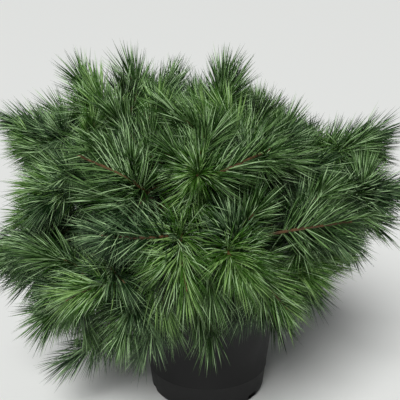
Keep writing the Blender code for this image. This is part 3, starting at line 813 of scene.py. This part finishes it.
def plan_shoots():
    """The leads, then the patches' shoots, the brushes, and the shoots that are seen one by one."""
    dice = random.Random("shoots")
    planned = []
    for limb in limbs:
        share = 1 - LEAD_LENGTH / limb.span
        start = limb.at(share)
        bend = limb.at((1 + share) / 2) * 2 - (start + limb.bud) / 2
        planned.append(Shoot(limb, start, bend, limb.bud, False, None))
    for bud in crown_patches(OUTER_PATCHES, OUTER_REACH, dice):
        planned.append(side_shoot(bud, False, dice))
    for bud in crown_patches(INNER_PATCHES, INNER_REACH, dice):
        planned.append(side_shoot(bud, True, dice))
    for limb in limbs:
        if limb.proud >= BRUSH_PROUD and abs(limb.outward.z) < BRUSH_LEVEL:
            planned += brush_shoots(limb, dice)
    for seen in FRONT_SHOOTS:
        surfacing = seen_on_crown(seen.surfacing, FRONT_SURFACING_PROUD)
        bud = seen_on_crown(seen.bud, FRONT_BUD_PROUD)
        planned.append(surfacing_shoot(surfacing, bud, seen.tint))
    for seen in PEAK_SHOOTS:
        surfacing = seen_at_y(seen.surfacing, seen.bud_y - PEAK_LEANS_BACK)
        bud = seen_at_y(seen.bud, seen.bud_y)
        planned.append(surfacing_shoot(surfacing, bud, seen.tint))
    return planned


def bud_tube(shoot):
    """The pointed end bud, as a spindle that swells and closes."""
    direction = (shoot.bud - shoot.bend).normalized()
    path = [shoot.bud + direction * BUD_LENGTH * share for share in BUD_STATIONS]
    return tube(path, [SHOOT_RADII[1], BUD_RADIUS, BUD_RADIUS * BUD_SHOULDER, BUD_POINT], SHOOT_SIDES)


def make_twigs(limb, shoots, materials):
    """A limb's stem and shoots: the stem and the inner shoots take the first of the materials."""
    shares = [row / (STEM_ROWS - 1) for row in range(STEM_ROWS)]
    path = [limb.at(blend(BOUGH_SHARE, 1.0, share)) for share in shares]
    tubes = [tube(path, [blend(*STEM_RADII, share) for share in shares], STEM_SIDES)]
    tints = [0]
    for shoot in shoots:
        shares = [row / (SHOOT_ROWS - 1) for row in range(SHOOT_ROWS)]
        path = [shoot_at(shoot, share) for share in shares]
        tubes.append(tube(path, [blend(*SHOOT_RADII, share) for share in shares], SHOOT_SIDES))
        tubes.append(bud_tube(shoot))
        tints += [0 if shoot.inner else 1, 2]
    name = "twigs_" + limb.name
    return place_piece(name, join_tubes(name, tubes, tints), materials, [], sharp=50)


twig_brown = mottled("twig_brown", dark=(0.050, 0.030, 0.018), light=(0.120, 0.075, 0.042),
                     mottle=220.0, roughness=(0.60, 0.85), grain=900.0, grain_depth=0.0003)
shoot_bark = mottled("shoot_bark", dark=(0.050, 0.025, 0.007), light=(0.115, 0.056, 0.016),
                     mottle=180.0, roughness=(0.50, 0.75), grain=900.0, grain_depth=0.0003)
bud_scale = mottled("bud_scale", dark=(0.150, 0.070, 0.030), light=(0.300, 0.170, 0.085),
                    mottle=500.0, roughness=(0.45, 0.70), grain=1500.0, grain_depth=0.0002)
shoots = plan_shoots()
for limb in limbs:
    make_twigs(limb, [shoot for shoot in shoots if shoot.limb is limb], [twig_brown, shoot_bark, bud_scale])

# The needles: bundles of five, soft and slender, set round the end of each shoot and swept towards its
# bud. A needle has two green faces and one that rows of pores make silvery. The needles of a shoot
# share one tint, but a few carry a painted highlight on all their faces, and a few deep inside are old
# and faded. Most shoots deep inside take a near-black tint: partly older needles, partly painted shade.
NEEDLES_IN_BUNDLE = 5
NEEDLE_SIDES = 3
NEEDLE_POINTS = 2 * NEEDLE_SIDES + 1
OUTER_BUNDLES = 56
INNER_BUNDLES = 26
NEEDLE_ZONE = 0.095
NEEDLE_ZONE_VARIES = (0.85, 1.15)
LONGEST_ZONE = 0.95
NEEDLE_LENGTHS = (0.060, 0.082)
NEEDLE_STRAIGHT_PART = 0.55
NEEDLE_CURVED_PART = 0.45
NEEDLE_RADIUS = 0.00078
NEEDLE_ROOT_SHARE = 0.85
LEAN_BACK = 60.0
LEAN_FRONT = 16.0
LEAN_VARIES = 6
TURN_VARIES = 0.25
BUNDLE_SPREAD = 0.26
SPREAD_VARIES = (0.3, 1.0)
GLINTING_SHARE = 0.13
FADED_SHARE = 0.08
DROOP = (0.02, 0.20)
FORWARD_CURL = 0.22
CURL_VARIES = (0.2, 1.0)
PARTING = 0.74
GREEN_ROUGHNESS = 0.36
SILVER_ROUGHNESS = 0.40
FADED_ROUGHNESS = 0.60
NEEDLE_SPECULAR = 0.30
SEED_BASE = 31
SEED_LIMIT = 2 ** 32


def needle_finish(name, colour, roughness):
    material = bpy.data.materials.new(name)
    material.use_nodes = True
    shader = material.node_tree.nodes["Principled BSDF"]
    shader.inputs["Base Color"].default_value = (*colour, 1.0)
    shader.inputs["Roughness"].default_value = roughness
    shader.inputs["Specular IOR Level"].default_value = NEEDLE_SPECULAR
    return material


Tint = namedtuple("Tint", "name green silver")
TINTS = [
    Tint("fresh", green=(0.042, 0.122, 0.011), silver=(0.245, 0.410, 0.125)),
    Tint("leaf", green=(0.016, 0.052, 0.006), silver=(0.140, 0.260, 0.082)),
    Tint("blue", green=(0.011, 0.037, 0.009), silver=(0.125, 0.220, 0.095)),
    # A near-black tint, mostly for shoots inside the crown: partly their older needles, partly painted
    # shade
    Tint("deep", green=(0.004, 0.014, 0.002), silver=(0.020, 0.042, 0.011)),
]
# Painted highlight: a bright pale green put on every face of a few needles, as if they were lit
GLINT = (0.390, 0.580, 0.290)
FADED = (0.105, 0.052, 0.022)
GLINT_NUMBER = 2 * len(TINTS)
FADED_NUMBER = GLINT_NUMBER + 1
# How often a shoot takes each tint, in the order of TINTS
OUTER_WEIGHTS = (0.20, 0.42, 0.30, 0.08)
# Inside the crown most shoots take the near-black tint, which paints the shade there
INNER_WEIGHTS = (0.01, 0.10, 0.15, 0.74)


def unit(rows):
    return rows / np.linalg.norm(rows, axis=-1, keepdims=True)


def bundles(shoot, dice):
    """Where each bundle sits on its shoot, which way it points, and which way the shoot runs there.
    A shoot with a tint of its own is seen from outside: that side is left bare, so its bark shows."""
    count = INNER_BUNDLES if shoot.inner else OUTER_BUNDLES
    length = (shoot.bud - shoot.start).length
    zone = min(LONGEST_ZONE, NEEDLE_ZONE * dice.uniform(*NEEDLE_ZONE_VARIES) / length)
    step = (np.arange(count) + dice.uniform(0, 1, count)) / count
    share = (1 - zone + zone * step)[:, None]
    start, bend, bud = (np.array(point) for point in (shoot.start, shoot.bend, shoot.bud))
    place = (start * (1 - share) + bend * share) * (1 - share) + (bend * (1 - share) + bud * share) * share
    along = unit((bend - start) * (1 - share) + (bud - bend) * share)
    guide = np.eye(3)[np.argmin(np.abs(bud - start))]
    across = unit(np.cross(guide, along))
    over = np.cross(along, across)
    turn = (np.radians(GOLDEN_ANGLE) * np.arange(count) + dice.normal(0, TURN_VARIES, count))[:, None]
    radial = across * np.cos(turn) + over * np.sin(turn)
    lean = LEAN_BACK + (LEAN_FRONT - LEAN_BACK) * step + dice.normal(0, LEAN_VARIES, count)
    lean = np.radians(lean)[:, None]
    pointing = unit(along * np.cos(lean) + radial * np.sin(lean))
    if shoot.tint:
        parted = np.sum(radial * unit(place - np.array(HEART)), axis=1) < PARTING
        return place[parted], pointing[parted], along[parted]
    return place, pointing, along


def needle_points(place, pointing, along, dice):
    """Seven points of every needle: a triangle at its root, one past its middle, and its tip."""
    count = len(place)
    rows = np.repeat(np.arange(count), NEEDLES_IN_BUNDLE)
    place, pointing, along = place[rows], pointing[rows], along[rows]
    guide = unit(dice.normal(0, 1, (len(rows), 3)))
    side = unit(np.cross(pointing, guide))
    one_each = (len(rows), 1)
    pointing = unit(pointing + side * BUNDLE_SPREAD * dice.uniform(*SPREAD_VARIES, one_each))
    fall = np.array([0.0, 0.0, -1.0]) * dice.uniform(*DROOP, one_each)
    ending = unit(pointing + fall + along * FORWARD_CURL * dice.uniform(*CURL_VARIES, one_each))
    length = dice.uniform(*NEEDLE_LENGTHS, one_each)
    middle = place + pointing * length * NEEDLE_STRAIGHT_PART
    tip = middle + ending * length * NEEDLE_CURVED_PART
    out = unit(np.cross(pointing, guide))
    over = np.cross(pointing, out)
    stations = []
    for centre, size in ((place, NEEDLE_ROOT_SHARE), (middle, 1.0)):
        for number in range(NEEDLE_SIDES):
            angle = 2 * math.pi * number / NEEDLE_SIDES
            edge = out * math.cos(angle) + over * math.sin(angle)
            stations.append(centre + edge * NEEDLE_RADIUS * size)
    stations.append(tip)
    return np.stack(stations, axis=1).reshape(-1, 3)


def needle_faces(count):
    """Corners of every needle's three long faces and three end faces."""
    faces = [(0, 1, 4, 3), (1, 2, 5, 4), (2, 0, 3, 5), (3, 4, 6), (4, 5, 6), (5, 3, 6)]
    pattern = np.array([index for face in faces for index in face])
    corners = (pattern[None] + NEEDLE_POINTS * np.arange(count)[:, None]).ravel()
    return corners, np.tile([len(face) for face in faces], count)


def seed_from(name):
    """A seed that stays the same for a name from one run to the next."""
    return sum(ord(letter) * SEED_BASE ** place for place, letter in enumerate(name)) % SEED_LIMIT


def make_needles(limb, shoots, finishes):
    dice = np.random.default_rng(seed_from(limb.name))
    points, tints = [], []
    for shoot in shoots:
        weights = INNER_WEIGHTS if shoot.inner else OUTER_WEIGHTS
        tint = int(dice.choice(len(TINTS), p=weights))
        if shoot.tint:
            tint = [known.name for known in TINTS].index(shoot.tint)
        points.append(needle_points(*bundles(shoot, dice), dice))
        count = len(points[-1]) // NEEDLE_POINTS
        green, silver = 2 * tint, 2 * tint + 1
        faces = np.tile([green, green, silver] * 2, (count, 1))
        # A few needles take the painted highlight on all their faces
        faces[dice.uniform(0, 1, count) < GLINTING_SHARE] = GLINT_NUMBER
        if shoot.inner:
            faces[dice.uniform(0, 1, count) < FADED_SHARE] = FADED_NUMBER
        tints.append(faces.ravel())
    points = np.concatenate(points)
    corners, sizes = needle_faces(len(points) // NEEDLE_POINTS)
    name = "needles_" + limb.name
    mesh = mesh_from_arrays(name, points, corners, sizes, np.concatenate(tints))
    return place_piece(name, mesh, finishes, ["mass_" + limb.name])


needle_finishes = []
for tint in TINTS:
    needle_finishes.append(needle_finish("needle_" + tint.name, tint.green, GREEN_ROUGHNESS))
    needle_finishes.append(needle_finish("needle_" + tint.name + "_silver", tint.silver, SILVER_ROUGHNESS))
needle_finishes.append(needle_finish("needle_glint", GLINT, GREEN_ROUGHNESS))
needle_finishes.append(needle_finish("needle_faded", FADED, FADED_ROUGHNESS))
for limb in limbs:
    make_needles(limb, [shoot for shoot in shoots if shoot.limb is limb], needle_finishes)

# The floor: a plain pale studio floor, painted, flat and matt, level with the pot's underside and wide
# enough to fill the photograph's view.
FLOOR_SIZE = 30.0
FLOOR_COLOUR = (0.84, 0.85, 0.83)
FLOOR_ROUGHNESS = 0.85
floor_mesh = bpy.data.meshes.new("studio_floor")
half_floor = FLOOR_SIZE / 2
floor_mesh.from_pydata([(-half_floor, -half_floor, 0), (half_floor, -half_floor, 0),
                        (half_floor, half_floor, 0), (-half_floor, half_floor, 0)], [], [(0, 1, 2, 3)])
studio_floor = bpy.data.objects.new("studio_floor", floor_mesh)
bpy.context.scene.collection.objects.link(studio_floor)
floor_paint = bpy.data.materials.new("floor_paint")
floor_paint.use_nodes = True
paint_shader = floor_paint.node_tree.nodes["Principled BSDF"]
paint_shader.inputs["Base Color"].default_value = (*FLOOR_COLOUR, 1.0)
paint_shader.inputs["Roughness"].default_value = FLOOR_ROUGHNESS
floor_mesh.materials.append(floor_paint)

# The light: a pale, faint, even surround, and one broad soft light that comes from above and in front,
# a little to the left.
SURROUND_COLOUR = (0.96, 0.98, 1.0)
SURROUND_STRENGTH = 0.12
OVERHEAD_STRENGTH = 3.45
OVERHEAD_BREADTH = 32.0
OVERHEAD_TURN = (42.0, -6.0, -8.0)
studio_world = bpy.data.worlds.new("studio_world")
studio_world.use_nodes = True
surround = studio_world.node_tree.nodes["Background"]
surround.inputs["Color"].default_value = (*SURROUND_COLOUR, 1.0)
surround.inputs["Strength"].default_value = SURROUND_STRENGTH
bpy.context.scene.world = studio_world
overhead = bpy.data.lights.new("overhead", "SUN")
overhead.energy = OVERHEAD_STRENGTH
overhead.angle = math.radians(OVERHEAD_BREADTH)
overhead_lamp = bpy.data.objects.new("overhead", overhead)
overhead_lamp.rotation_euler = [math.radians(angle) for angle in OVERHEAD_TURN]
bpy.context.scene.collection.objects.link(overhead_lamp)

# The camera: it looks down 18 degrees from just left of the plant's middle, as the photograph does,
# from the place and with the lens that were fitted to the pot's edges.
bpy.context.scene.view_settings.view_transform = "Standard"
eye = bpy.data.cameras.new("eye")
eye.sensor_width = CAMERA_SENSOR
eye.lens = CAMERA_LENS
camera = bpy.data.objects.new("eye", eye)
camera.location = CAMERA_PLACE
camera.rotation_euler = (math.radians(CAMERA_TILT), 0, 0)
bpy.context.scene.collection.objects.link(camera)
bpy.context.scene.camera = camera
